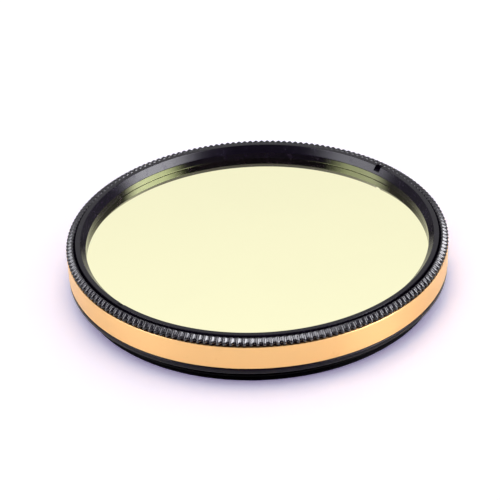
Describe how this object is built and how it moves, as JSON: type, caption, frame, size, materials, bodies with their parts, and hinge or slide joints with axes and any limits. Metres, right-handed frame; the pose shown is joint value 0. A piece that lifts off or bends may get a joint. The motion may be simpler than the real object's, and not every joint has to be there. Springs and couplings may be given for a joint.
{
  "type": "optical bandpass filter",
  "caption": "Round bandpass filter glass in a black threaded cell with a knurled rim, a copper-coloured band and a notched retaining ring",
  "frame": {"origin": "middle of the rear face of the male thread, on the optical axis", "axes": "+Z is the optical axis, from the male thread towards the knurled rim; +X and +Y lie in the rear face, and +Y points to the joint of the colour band"},
  "size_m": [0.0506, 0.0504, 0.007],
  "materials": {
    "black_anodised": "satin",
    "copper_anodised": "gloss",
    "coated_glass": "gloss"
  },
  "bodies": {
    "root": {"cell_body": "black_anodised", "colour_band": "copper_anodised", "filter_glass": "coated_glass", "retaining_ring": "black_anodised"}
  },
  "joints": []
}
